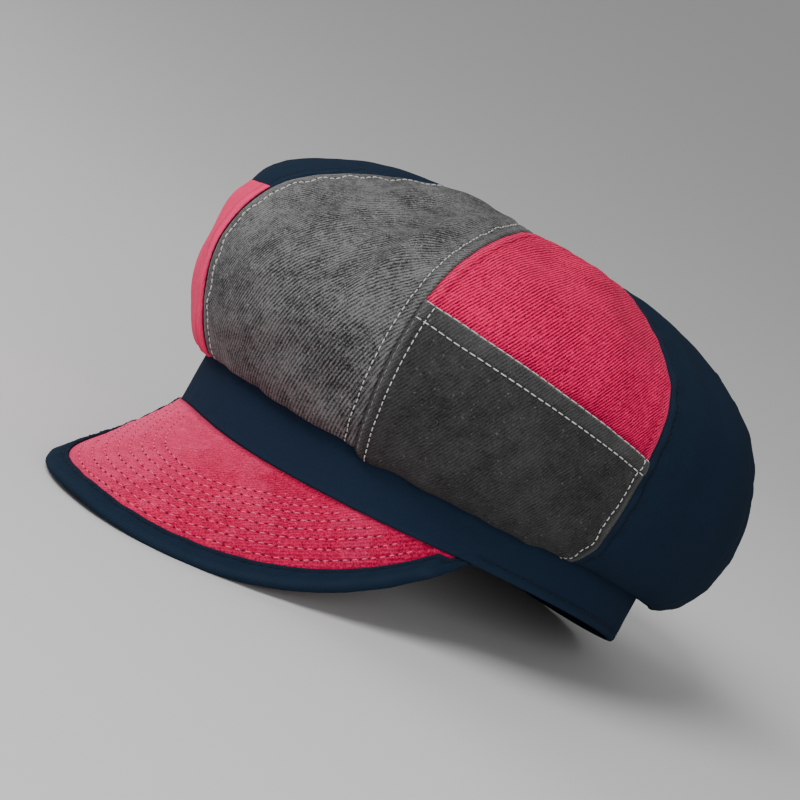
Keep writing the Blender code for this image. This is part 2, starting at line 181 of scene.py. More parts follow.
def band_outline(azimuth, inset=0.0):
    turn = np.radians(azimuth)
    across = (BAND_WIDTH / 2 - inset) * np.sin(turn)
    forward = (BAND_LENGTH / 2 - inset) * np.cos(turn)
    return np.stack([across, -forward], axis=-1)


def hem_height(azimuth):
    turn = np.radians(azimuth)
    level = HEM_TILT * np.cos(turn) - HEM_EAR_ARCH * np.cos(2 * turn) - HEM_RIPPLE * np.cos(3 * turn)
    from_sag = (azimuth - HEM_SAG_AZIMUTH + 180.0) % 360.0 - 180.0
    return level - HEM_SAG * bell(from_sag, HEM_SAG_SPREAD)


# How the cap lies: the CAD headband's corners, as drawn level, matched to where they are in the frame


FIT_ROUNDS = 12


def headband_corners():
    corners = []
    for azimuth in np.arange(BAND_SEGMENTS) * 360.0 / BAND_SEGMENTS:
        for inset in (0.0, BAND_WALL):
            corners.append([*band_outline(azimuth, inset), BAND_HEIGHT])
    return np.array(corners)


def frame_pose():
    """The turn and shift that carry the level cap onto the CAD model."""
    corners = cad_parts["headband"].data.vertices
    found = np.unique(np.array([corner.co[:] for corner in corners]).round(7), axis=0)
    front, back = found[np.argmax(found[:, 2])], found[np.argmax(found[:, 1])]
    tilt = math.atan2(front[2] - back[2], back[1] - front[1])
    turn = np.array([[1, 0, 0], [0, math.cos(tilt), math.sin(tilt)], [0, -math.sin(tilt), math.cos(tilt)]])
    level = headband_corners()
    shift = front - turn @ [0.0, -BAND_LENGTH / 2, BAND_HEIGHT]
    for _ in range(FIT_ROUNDS):
        apart = np.linalg.norm(found[None] - (level @ turn.T + shift)[:, None], axis=2)
        near = found[np.argmin(apart, axis=1)]
        u, _, v = np.linalg.svd((level - level.mean(axis=0)).T @ (near - near.mean(axis=0)))
        u[:, 2] *= np.linalg.det(u @ v)
        turn = (u @ v).T
        shift = near.mean(axis=0) - turn @ level.mean(axis=0)
    return turn, shift


TURN, SHIFT = frame_pose()


def set_down(points):
    """Points of the level cap, moved to where it lies, and pressed flat on the floor."""
    placed = np.asarray(points) @ TURN.T + SHIFT
    placed[..., 2] = np.maximum(placed[..., 2], 0.0)
    return placed


def section_at(azimuth):
    table = np.array(CROWN_SECTIONS, float)
    waves = np.arange(len(CROWN_SECTIONS))
    weights = np.linalg.solve(np.cos(np.radians(np.outer(table[:, 0], waves))), table)
    return Section(*(np.cos(np.radians(azimuth * waves)) @ weights))


def smooth_path(knots, steps):
    knots = np.asarray(knots, float)
    padded = np.vstack([2 * knots[0] - knots[1], knots, 2 * knots[-1] - knots[-2]])
    before, start, end, after = padded[:-3], padded[1:-2], padded[2:-1], padded[3:]

    def spacing(a, b):
        return np.sqrt(np.linalg.norm(b - a, axis=1, keepdims=True))

    first, middle, last = spacing(before, start), spacing(start, end), spacing(end, after)
    leave = (end - start) + middle * ((start - before) / first - (end - before) / (first + middle))
    arrive = (end - start) + middle * ((after - end) / last - (after - start) / (middle + last))
    u = np.linspace(0, 1, steps, endpoint=False)[None, :, None]
    line = (
        (2 * u**3 - 3 * u**2 + 1) * start[:, None]
        + (u**3 - 2 * u**2 + u) * leave[:, None]
        + (3 * u**2 - 2 * u**3) * end[:, None]
        + (u**3 - u**2) * arrive[:, None]
    )
    return np.vstack([line.reshape(-1, knots.shape[1]), knots[-1:]])


CROWN_MIDDLE = np.array([0.0, CROWN_MIDDLE_Y])


def crown_path(azimuth):
    s = section_at(azimuth)
    to_middle = np.linalg.norm(band_outline(azimuth) - CROWN_MIDDLE)
    seat = BAND_HEIGHT + CLEARANCE
    knots = [
        (-BAND_WALL * 0.8, seat + 0.2 * CLEARANCE),
        (BAND_WALL * 0.25, seat),
        (s.fold_out * CROWN_OVERHANG, BAND_HEIGHT + s.fold_up * CROWN_RISE),
        (s.low_out * CROWN_OVERHANG, BAND_HEIGHT + s.low_up * CROWN_RISE),
        (s.belly_out * CROWN_OVERHANG, BAND_HEIGHT + s.belly_up * CROWN_RISE),
        (s.shoulder_out * CROWN_OVERHANG, BAND_HEIGHT + s.shoulder_up * CROWN_RISE),
        (-TOP_RING_INSET * to_middle, BAND_HEIGHT + s.top_up * CROWN_RISE),
        (MIDDLE_HOLE_RADIUS - to_middle, BAND_HEIGHT + CROWN_RISE - DIMPLE_DEPTH),
    ]
    path = smooth_path(knots, PATH_STEPS)
    steps = np.linalg.norm(np.diff(path, axis=0), axis=1)
    length = np.concatenate([[0.0], np.cumsum(steps)])
    return path, length, length[::PATH_STEPS]


def pocket_depth(azimuth):
    from_front = (azimuth + 180.0) % 360.0 - 180.0
    to_right = np.clip((GORE_ANGLE / 2 - from_front) / GORE_ANGLE, 0.0, 1.0)
    front = POCKET_DEPTH_FRONT + to_right * POCKET_RIGHT_RISE
    share = np.clip((abs(from_front) - GORE_ANGLE / 2) / GORE_ANGLE, 0.0, 1.0)
    return front + share * (POCKET_DEPTH_BACK - front)


def ripple(u, v, size, seed, strands=10):
    """Smooth noise from a few seeded waves, about 1 high, with features of this size."""
    rng = np.random.RandomState(seed)
    total = np.zeros(np.broadcast(u, v).shape)
    for _ in range(strands):
        turn = rng.uniform(0, 2 * math.pi)
        phase = rng.uniform(0, 2 * math.pi)
        stretch = rng.uniform(0.6, 1.7)
        wave = 2 * math.pi * (u * math.cos(turn) + v * math.sin(turn)) / (size * stretch)
        total += np.sin(wave + phase)
    return total / math.sqrt(strands / 2)


# Fine rows of a gore, in cloth length, and columns crowded near both seams

FINE_UNDER = 16
FINE_LOWER = 60
FINE_UPPER = 84
CROWDING = 1.35
MOUTH = FINE_UNDER + FINE_LOWER
SEAM_SHARE = 0.10
SEAM_COLUMNS = 24
MIDDLE_COLUMNS = 40
GHOST = 0.02  # a column past each seam, for the directions there


def graded_shares(edge, fine, coarse):
    near = np.linspace(0, edge, fine, endpoint=False)
    middle = np.linspace(edge, 1 - edge, coarse + 1)
    return np.concatenate([near, middle, 1 - near[::-1]])


def row_lengths(azimuth, knots):
    mouth = knots[2] + pocket_depth(azimuth)
    return np.concatenate(
        [
            np.linspace(0, knots[2], FINE_UNDER, endpoint=False),
            mouth - (mouth - knots[2]) * (1 - np.arange(FINE_LOWER) / FINE_LOWER) ** CROWDING,
            np.linspace(mouth, knots[-1], FINE_UPPER + 1),
        ]
    )


Surface = namedtuple("Surface", "points normals along cloth from_start from_end")


def unit(vectors):
    return vectors / np.maximum(np.linalg.norm(vectors, axis=-1, keepdims=True), 1e-12)


def grid_normals(points):
    return unit(np.cross(np.gradient(points, axis=0), np.gradient(points, axis=1)))


def gore_surface(index):
    """A gore's plain outside, with the cloth distances that the details follow."""
    shares = graded_shares(SEAM_SHARE, SEAM_COLUMNS, MIDDLE_COLUMNS)
    ghost = np.concatenate([[-GHOST], shares, [1 + GHOST]])
    points = []
    along = []
    for share in ghost:
        azimuth = (index - 0.5 + share) * GORE_ANGLE
        path, length, knots = crown_path(azimuth)
        rows = row_lengths(azimuth, knots)
        out = np.interp(rows, length, path[:, 0])
        height = np.interp(rows, length, path[:, 1])
        rim = band_outline(azimuth)
        outwards = (rim - CROWN_MIDDLE) / np.linalg.norm(rim - CROWN_MIDDLE)
        points.append(np.column_stack([rim + out[:, None] * outwards, height]))
        along.append((rows - knots[2]) / (knots[-1] - knots[2]))
    points, along = np.array(points), np.array(along)
    normals = grid_normals(points)
    points, normals, along = points[1:-1], normals[1:-1], along[1:-1]
    share = shares[:, None]
    rising = np.clip(along / 0.25, 0, 1) * np.clip((1 - along) / 0.35, 0, 1)
    swell = GORE_PUFF * np.sin(math.pi * share) * rising
    for fold in FOLDS + CREASES:
        if fold.gore == GORES[index][0]:
            off = ((share - fold.across) / fold.wide) ** 2 + ((along - fold.along) / fold.long) ** 2
            swell = swell + FOLD_DEPTH * fold.lift * np.exp(-off) * rising
    azimuths = (index - 0.5 + shares) * GORE_ANGLE
    plan = unit(band_outline(azimuths) - CROWN_MIDDLE)
    sideways = np.column_stack([-plan[:, 1], plan[:, 0], np.zeros(len(plan))])
    inset = SEAM_GAP / 2 * (1 - 2 * shares)
    points = points + swell[..., None] * normals + (inset[:, None] * sideways)[:, None, :]
    across_steps = np.linalg.norm(np.diff(points, axis=0), axis=2)
    from_start = np.vstack([np.zeros((1, points.shape[1])), np.cumsum(across_steps, axis=0)])
    width = from_start[-1]
    up_steps = np.linalg.norm(np.diff(points, axis=1), axis=2).mean(axis=0)
    up = np.concatenate([[0.0], np.cumsum(up_steps)])
    cloth = np.stack([from_start - width / 2, np.broadcast_to(up, from_start.shape)], axis=-1)
    from_end = width - from_start
    normals = grid_normals(points)
    sewn = bell(np.minimum(from_start, from_end), SEWN_SPAN)
    leaning = (normals * sideways[:, None]).sum(axis=-1)
    normals = unit(normals - (sewn * leaning)[..., None] * sideways[:, None])
    return Surface(points, normals, along, cloth, from_start, from_end)


def seam_relief(distance, run, seed, row=STITCH_INSET):
    """Height of the cloth beside a sewn seam: rolled edge, padded allowance, stitch groove, puckers."""
    rolled = -ROLL_DEPTH * np.exp(-((distance / ROLL_WIDTH) ** 1.3))
    padded = PAD_HEIGHT * below(distance - row, PAD_SOFTNESS) * (1 - np.exp(-distance / ROLL_WIDTH))
    groove = -GROOVE_DEPTH * bell(distance - row, GROOVE_WIDTH)
    pucker = PUCKER_HEIGHT * ripple(run, run * 0.0, PUCKER_SIZE, seed, strands=6)
    return rolled + padded + groove + pucker * bell(distance - row, PUCKER_WIDTH)


def add_relief(surface, height):
    points = surface.points + height[..., None] * surface.normals
    return surface._replace(points=points, normals=grid_normals(points))


# Meshes


def cloth_object(name, outside, inside, material, cloth, wear, ring=0.0):
    """A closed cloth mesh between an outside grid and its inside, with cloth coordinates and a second
    layer of marks: paler wear and painted highlights and light in x, painted shade in y.

    A ring's first column follows its last one, and ring is its length round."""
    columns, rows = outside.shape[:2]
    placed = set_down(np.concatenate([outside.reshape(-1, 3), inside.reshape(-1, 3)]))
    number = np.arange(columns * rows).reshape(columns, rows)
    a, b = number[:-1], number[1:]
    if ring:
        a, b = number, np.roll(number, -1, axis=0)
    total = columns * rows
    front = np.stack([a[:, :-1], b[:, :-1], b[:, 1:], a[:, 1:]], axis=-1).reshape(-1, 4)
    back = front[:, ::-1] + total
    low_edge = np.stack([a[:, 0] + total, b[:, 0] + total, b[:, 0], a[:, 0]], axis=-1)
    high_edge = np.stack([a[:, -1], b[:, -1], b[:, -1] + total, a[:, -1] + total], axis=-1)
    faces = [front, back, low_edge, high_edge]
    if not ring:
        s, e = number[0], number[-1]
        faces.append(np.stack([s[:-1] + total, s[:-1], s[1:], s[1:] + total], axis=-1))
        faces.append(np.stack([e[:-1], e[:-1] + total, e[1:] + total, e[1:]], axis=-1))
    faces = np.concatenate(faces)
    mesh = bpy.data.meshes.new(name)
    mesh.from_pydata(placed.tolist(), [], faces.tolist())
    corner = np.concatenate([cloth.reshape(-1, 2), cloth.reshape(-1, 2)])
    marks = np.concatenate([wear.reshape(-1, 2), wear.reshape(-1, 2) * 0.0])
    flat = faces.reshape(-1)
    column = (flat % total) // rows
    closes = np.repeat((column.reshape(-1, 4) == columns - 1).any(axis=1), 4)
    for layer, values in (("cloth", corner), ("wear", marks)):
        place = values[flat].astype(np.float32)
        if ring and layer == "cloth":
            place[closes & (column == 0), 0] += ring
        mesh.uv_layers.new(name=layer).data.foreach_set("uv", place.reshape(-1))
    mesh.materials.append(material)
    mesh.shade_smooth()
    mesh.validate()
    piece = bpy.data.objects.new(name, mesh)
    bpy.context.collection.objects.link(piece)
    return piece


Thread = namedtuple("Thread", "pitch length radius")
TOPSTITCH = Thread(0.0026, 0.0021, 0.00022)
DENSE_STITCH = Thread(0.0024, 0.0022, 0.00025)
HEM_STITCH = Thread(0.0031, 0.0028, 0.00024)
EDGE_THREAD = Thread(0.0035, 0.0034, 0.00018)
FINE_STITCH = Thread(0.0031, 0.0024, 0.00022)
PEAK_STITCH = Thread(0.0035, 0.0021, 0.00022)
NEEDLE_HOLE = Thread(0.0035, 0.0007, 0.00027)
STITCH_ARCH = np.array([-1.3, 0.15, 0.55, 0.55, 0.15, -1.3])
STITCH_GIRTH = np.array([0.55, 0.95, 1.0, 1.0, 0.95, 0.55])
STITCH_START = 0.002


def stitch_row(line, up, thread, start=STITCH_START, stop=STITCH_START):
    """Stitches along a line of points with their upward directions: a list of short sagging tubes."""
    steps = np.linalg.norm(np.diff(line, axis=0), axis=1)
    run = np.concatenate([[0.0], np.cumsum(steps)])
    tubes = []
    places = np.arange(start, run[-1] - stop - thread.length, thread.pitch)
    for place in places:
        ts = place + thread.length * np.linspace(0, 1, 6)
        points = np.stack([np.interp(ts, run, line[:, k]) for k in range(3)], axis=-1)
        ups = unit(np.stack([np.interp(ts, run, up[:, k]) for k in range(3)], axis=-1))
        points = points + STITCH_ARCH[:, None] * thread.radius * ups
        way = unit(np.gradient(points, axis=0))
        side = unit(np.cross(way, ups))
        over = np.cross(side, way)
        turn = np.arange(6) * math.pi / 3
        size = thread.radius * STITCH_GIRTH
        ring = np.cos(turn)[None, :, None] * side[:, None] + np.sin(turn)[None, :, None] * over[:, None]
        tubes.append(points[:, None] + size[:, None, None] * ring)
    return tubes


def stitch_object(name, tubes, material):
    tubes = np.array(tubes)
    count, sections, around = tubes.shape[:3]
    number = np.arange(sections * around).reshape(sections, around)
    turned = np.roll(number, -1, axis=1)
    quads = np.stack([number[:-1], turned[:-1], turned[1:], number[1:]], axis=-1).reshape(-1, 4)
    caps = [number[0][::-1].tolist(), number[-1].tolist()]
    faces = []
    for k in range(count):
        base = k * sections * around
        faces += (quads + base).tolist()
        faces += [[base + corner for corner in cap] for cap in caps]
    mesh = bpy.data.meshes.new(name)
    mesh.from_pydata(set_down(tubes.reshape(-1, 3)).tolist(), [], faces)
    mesh.materials.append(material)
    mesh.shade_smooth()
    piece = bpy.data.objects.new(name, mesh)
    bpy.context.collection.objects.link(piece)
    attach(piece, "root")
    return piece


ROOM_FOR_ROW = 2.4  # a row stops where the gore is narrower than this many times its distance


def line_at(surface, distance, from_end, first, last=None):
    """A line on a surface at this distance from its first or last column, and its upward directions."""
    last = surface.points.shape[1] if last is None else last
    offset = surface.from_end[::-1] if from_end else surface.from_start
    points = surface.points[::-1] if from_end else surface.points
    normals = surface.normals[::-1] if from_end else surface.normals
    line, ups = [], []
    for j in range(first, last):
        if offset[-1, j] < ROOM_FOR_ROW * distance:
            break
        line.append([np.interp(distance, offset[:, j], points[:, j, k]) for k in range(3)])
        ups.append([np.interp(distance, offset[:, j], normals[:, j, k]) for k in range(3)])
    return np.array(line), unit(np.array(ups))


def row_at(points, normals, offsets, distance):
    """The place and upward direction where the offsets, which fall along the row, reach this distance."""
    place = [np.interp(-distance, -offsets, points[:, k]) for k in range(3)]
    return place, [np.interp(-distance, -offsets, normals[:, k]) for k in range(3)]


# Materials


def link(tree, source, output, target, socket):
    tree.links.new(source.outputs[output], target.inputs[socket])


def node(tree, kind, **values):
    made = tree.nodes.new(kind)
    for key, value in values.items():
        if hasattr(made, key):
            setattr(made, key, value)
        else:
            made.inputs[key.replace("_", " ")].default_value = value
    return made


def colour_socket(sockets, place=0):
    return [socket for socket in sockets if socket.type == "RGBA"][place]


def colour_mix(tree, first, second, amount, blend="MIX"):
    """A colour mix of two sockets or fixed colours by a factor socket."""
    made = node(tree, "ShaderNodeMix", data_type="RGBA", blend_type=blend)
    for place, value in enumerate((first, second)):
        socket = colour_socket(made.inputs, place)
        if isinstance(value, tuple):
            socket.default_value = (*value, 1.0)
        else:
            tree.links.new(value, socket)
    tree.links.new(amount, made.inputs["Factor"])
    return colour_socket(made.outputs)


# The third colour is the paler tone that flecks, wear and painted highlights and light move towards
Twill = namedtuple(
    "Twill", "dark light faded pitch angle contrast wale grain mottle fleck depth sheen specular"
)
MILLIMETRES = 1000.0
ONE_WAVE = 0.3142  # the wave texture's scale for one wale in a millimetre
DRAWN_OUT = 0.30  # the streaks' scale along the wales

# Noise: scale for each millimetre, detail, roughness
STREAK = (1.6, 1.0, 0.5)
SPECK = (1.7, 2.0, 0.65)
PATCH = (0.20, 3.0, 0.6)
CLOUD = (0.035, 2.0, 0.5)
NEP = (0.95, 0.0, 0.5)

CLOTH_ROUGHNESS = 0.92
TONE_REACH = 0.75
# painted shade: the second UV layer's y darkens the cloth towards this
SHADE = (0.30, 0.30, 0.30)
WEAVE_HEIGHT = 0.00022


def twill_material(name, twill):
    """Washed cotton twill. Cloth coordinates are metres, turned here into millimetres."""
    material = bpy.data.materials.new(name)
    material.use_nodes = True
    tree = material.node_tree
    shader = tree.nodes["Principled BSDF"]
    shader.inputs["Roughness"].default_value = CLOTH_ROUGHNESS
    shader.inputs["Sheen Weight"].default_value = twill.sheen
    shader.inputs["Sheen Roughness"].default_value = 0.5
    shader.inputs["Specular IOR Level"].default_value = twill.specular
    cloth = node(tree, "ShaderNodeUVMap", uv_map="cloth")
    marks = node(tree, "ShaderNodeUVMap", uv_map="wear")
    split = node(tree, "ShaderNodeSeparateXYZ")
    link(tree, marks, "UV", split, "Vector")
    scaled = node(tree, "ShaderNodeVectorMath", operation="SCALE")
    scaled.inputs["Scale"].default_value = MILLIMETRES
    link(tree, cloth, "UV", scaled, "Vector")
    turned = node(tree, "ShaderNodeMapping")
    turned.inputs["Rotation"].default_value = (0.0, 0.0, math.radians(twill.angle))
    link(tree, scaled, "Vector", turned, "Vector")
    drawn = node(tree, "ShaderNodeMapping")
    drawn.inputs["Scale"].default_value = (1.0 / twill.pitch, DRAWN_OUT, 1.0)
    link(tree, turned, "Vector", drawn, "Vector")

    def noise(scale, detail, rough, source=scaled):
        made = node(tree, "ShaderNodeTexNoise")
        made.inputs["Scale"].default_value = scale
        made.inputs["Detail"].default_value = detail
        made.inputs["Roughness"].default_value = rough
        link(tree, source, "Vector", made, "Vector")
        return made.outputs[0]

    def sum_of(*terms):
        """The sum of sockets, each times its amount."""
        total = None
        for socket, amount in terms:
            made = node(tree, "ShaderNodeMath", operation="MULTIPLY_ADD")
            tree.links.new(socket, made.inputs[0])
            made.inputs[1].default_value = amount
            made.inputs[2].default_value = 0.0
            if total is not None:
                tree.links.new(total, made.inputs[2])
            total = made.outputs["Value"]
        return total

    def ranged(socket, low, high):
        made = node(tree, "ShaderNodeMapRange")
        made.inputs["From Min"].default_value = low
        made.inputs["From Max"].default_value = high
        tree.links.new(socket, made.inputs["Value"])
        return made.outputs["Result"]

    wale = node(tree, "ShaderNodeTexWave", wave_type="BANDS", bands_direction="X")
    wale.inputs["Scale"].default_value = ONE_WAVE / twill.pitch
    wale.inputs["Distortion"].default_value = 1.1
    wale.inputs["Detail"].default_value = 2.0
    wale.inputs["Detail Scale"].default_value = 2.6
    link(tree, turned, "Vector", wale, "Vector")
    wale = wale.outputs["Fac"]
    streak = noise(*STREAK, drawn)
    speck = noise(*SPECK)
    patch = noise(*PATCH)
    cloud = noise(*CLOUD)
    parts = (
        (wale, twill.wale),
        (streak, 1.3),
        (speck, twill.grain),
        (patch, 1.6 * twill.mottle),
        (cloud, 1.8 * twill.mottle),
    )
    tone = sum_of(*parts)
    middle = 0.5 * sum(amount for _, amount in parts)
    reach = TONE_REACH / twill.contrast
    level = ranged(tone, middle - reach, middle + reach)
    base = colour_mix(tree, twill.dark, twill.light, level)
    nep = noise(*NEP)
    fleck = node(tree, "ShaderNodeMath", operation="MULTIPLY")
    fleck.inputs[1].default_value = twill.fleck
    tree.links.new(ranged(nep, 0.72, 0.84), fleck.inputs[0])
    base = colour_mix(tree, base, twill.faded, fleck.outputs["Value"])
    # The second UV layer's x moves the cloth to its pale tone, for wear and for painted highlights and
    # light; its y multiplies in SHADE, which is painted shade
    fade_and_highlight = node(tree, "ShaderNodeMath", operation="MULTIPLY", use_clamp=True)
    link(tree, split, "X", fade_and_highlight, 0)
    tree.links.new(ranged(sum_of((speck, 1.0), (wale, 0.30)), 0.20, 0.85), fade_and_highlight.inputs[1])
    worn_and_highlit = colour_mix(tree, base, twill.faded, fade_and_highlight.outputs["Value"])
    shaded = colour_mix(tree, worn_and_highlit, SHADE, split.outputs["Y"], "MULTIPLY")
    tree.links.new(shaded, shader.inputs["Base Color"])
    bump = node(tree, "ShaderNodeBump")
    bump.inputs["Strength"].default_value = twill.depth
    bump.inputs["Distance"].default_value = WEAVE_HEIGHT
    tree.links.new(sum_of((wale, 1.0), (speck, 0.6 * twill.grain), (streak, 0.5)), bump.inputs["Height"])
    link(tree, bump, "Normal", shader, "Normal")
    return material


def thread_material(name, colour, roughness=0.75):
    material = bpy.data.materials.new(name)
    material.use_nodes = True
    tree = material.node_tree
    shader = tree.nodes["Principled BSDF"]
    shader.inputs["Roughness"].default_value = roughness
    place = node(tree, "ShaderNodeTexCoord")
    speck = node(tree, "ShaderNodeTexNoise")
    speck.inputs["Scale"].default_value = 2600.0
    link(tree, place, "Object", speck, "Vector")
    shade = tuple(c * 0.72 for c in colour)
    tree.links.new(colour_mix(tree, shade, colour, speck.outputs[0]), shader.inputs["Base Color"])
    return material


TWILLS = {
    "grey": Twill(
        (0.016, 0.016, 0.0165), (0.178, 0.178, 0.178), (0.34, 0.34, 0.335),
        pitch=1.18, angle=24.0, contrast=1.40, wale=0.75, grain=2.6, mottle=0.8, fleck=0.6,
        depth=0.8, sheen=0.02, specular=0.10,
    ),
    "dark_grey": Twill(
        (0.013, 0.013, 0.0135), (0.058, 0.058, 0.059), (0.17, 0.17, 0.168),
        pitch=1.10, angle=27.0, contrast=0.8, wale=0.5, grain=2.4, mottle=1.0, fleck=0.4,
        depth=0.5, sheen=0.01, specular=0.08,
    ),
    "pink": Twill(
        (0.14, 0.001, 0.014), (0.92, 0.010, 0.118), (0.95, 0.070, 0.20),
        pitch=1.02, angle=27.0, contrast=1.1, wale=1.1, grain=1.8, mottle=0.35, fleck=0.6,
        depth=0.75, sheen=0.02, specular=0.08,
    ),
    "plain_pink": Twill(
        (0.52, 0.010, 0.070), (0.95, 0.040, 0.165), (0.95, 0.085, 0.22),
        pitch=0.95, angle=27.0, contrast=0.6, wale=0.5, grain=1.5, mottle=0.3, fleck=0.3,
        depth=0.3, sheen=0.04, specular=0.08,
    ),
    "peak_pink": Twill(
        (0.22, 0.001, 0.020), (0.84, 0.009, 0.104), (0.97, 0.090, 0.235),
        pitch=0.95, angle=160.0, contrast=1.1, wale=0.35, grain=3.0, mottle=0.3, fleck=0.6,
        depth=0.7, sheen=0.03, specular=0.10,
    ),
    "navy": Twill(
        (0.0066, 0.0130, 0.0250), (0.0122, 0.0235, 0.0440), (0.018, 0.030, 0.050),
        pitch=0.9, angle=27.0, contrast=0.6, wale=1.0, grain=1.2, mottle=0.3, fleck=0.0,
        depth=0.22, sheen=0.0, specular=0.03,
    ),
    # The navy twill again, painted lighter to offset the shade under the crown's overhang, for the
    # headband
    "brightened_navy": Twill(
        (0.0088, 0.0168, 0.0330), (0.0130, 0.0250, 0.0480), (0.022, 0.036, 0.060),
        pitch=0.9, angle=27.0, contrast=0.6, wale=1.0, grain=1.2, mottle=0.3, fleck=0.0,
        depth=0.22, sheen=0.0, specular=0.03,
    ),
}
twills = {name: twill_material(name + "_twill_cloth", twill) for name, twill in TWILLS.items()}
grey_thread = thread_material("grey_thread", (0.17, 0.17, 0.17))
white_thread = thread_material("white_thread", (0.62, 0.61, 0.58))
rose_thread = thread_material("rose_thread", (0.55, 0.006, 0.060))
pink_thread = thread_material("pink_thread", (0.95, 0.110, 0.26))
navy_thread = thread_material("navy_thread", (0.0022, 0.0045, 0.0085), roughness=1.0)
# painted shade in the needle holes of the peak's rows, drawn as small dark tubes
hole_shade = thread_material("needle_hole_shade", (0.085, 0.002, 0.008), roughness=1.0)
threads = {"white": [], "grey": [], "rose": [], "pink": [], "navy": [], "holes": []}
THREAD_OF = {"grey": "white", "pink": "rose", "navy": "navy"}


def dress(piece, nodes):
    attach(piece, "root")
    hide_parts(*nodes)


# Crown

plain_gores = []
for index, (name, cloth_name) in enumerate(GORES):
    plain = gore_surface(index)
    plain_gores.append(plain)
    around, run = plain.cloth[..., 0], plain.cloth[..., 1]
    near = np.minimum(plain.from_start, plain.from_end)
    start_row = FRONT_INSET if index == 0 else STITCH_INSET
    relief = seam_relief(plain.from_start, run, 11 + index, start_row)
    relief += seam_relief(plain.from_end, run, 11 + (index + 1) % len(GORES))
    lumps = (0.3 if cloth_name == "navy" else 0.8) * (1 - bell(near, 0.006))
    relief += LUMP_HEIGHT * lumps * ripple(around, run, LUMP_SIZE, seed=40 + index)
    relief += WRINKLE_HEIGHT * lumps * ripple(around, run, WRINKLE_SIZE, seed=60 + index)
    hem = bell(plain.along, 0.06) * np.clip((plain.along + 0.02) / 0.03, 0, 1)
    relief += HEM_WAVE * hem * lumps * ripple(around, run * 0.3, HEM_WAVE_SIZE, seed=80 + index, strands=6)
    fade_in = np.clip((plain.along + 0.06) / 0.04, 0, 1)
    above_mouth = plain.along - plain.along[:, MOUTH][:, None]
    covered = index in (LEFT_SIDE, RIGHT_SIDE)
    if covered:
        under_patch = (above_mouth < 0.01).astype(float)
        relief = relief * (1 - under_patch) - 0.0002 * under_patch
    dressed = add_relief(plain, relief * fade_in)
    # ridge is the second UV layer's x: paler along the raised seam allowances, plus the painted highlights
    # below
    ridge = 0.30 * bell(near - 0.0016, 0.0011) * fade_in
    row = np.minimum(np.abs(plain.from_start - start_row), np.abs(plain.from_end - STITCH_INSET))
    # groove is the layer's y: painted shade along each row of stitches and down each seam
    groove = 0.35 * bell(row, MARK_WIDTH) + 0.30 * bell(near, MARK_WIDTH)
    if index == 0:
        # painted shade on the front gore's strip between its right seam and its row
        groove += 0.34 * below(plain.from_end - 0.0042, 0.0003)
        # painted highlight: a thin light line beside the front gore's left seam
        ridge += 0.5 * bell(plain.from_start - EDGE_LINE, EDGE_LINE_WIDTH)
    if index == LEFT_SIDE:
        # painted highlight: a thin light line beside the pink gore's right seam
        ridge += 0.6 * bell(plain.from_end - EDGE_LINE, EDGE_LINE_WIDTH)
        across = plain.from_start / (plain.from_start + plain.from_end)
        # painted shadow on the pink gore just above the pocket mouth, fading upwards and growing towards
        # the gore's far seam
        shadow = np.exp(-((np.clip(above_mouth, 0, 1) / 0.006) ** 1.5))
        groove += 0.50 * shadow * np.clip(across * 1.4 - 0.1, 0, 1)
    wear = np.stack([ridge, groove * fade_in], axis=-1)
    inside = dressed.points - 0.9 * CROWN_WALL * plain.normals
    piece = cloth_object(name + "_cloth", dressed.points, inside, twills[cloth_name], plain.cloth, wear)
    dress(piece, [name])
    first = MOUTH + 3 if covered else FINE_UNDER - 6
    for from_end in (False, True):
        if index == LEFT_SIDE and not from_end:
            continue
        line, ups = line_at(dressed, STITCH_INSET if from_end else start_row, from_end, first)
        dense = index == 0 and not from_end
        threads[THREAD_OF[cloth_name]] += stitch_row(line, ups, DENSE_STITCH if dense else TOPSTITCH)

# Pockets

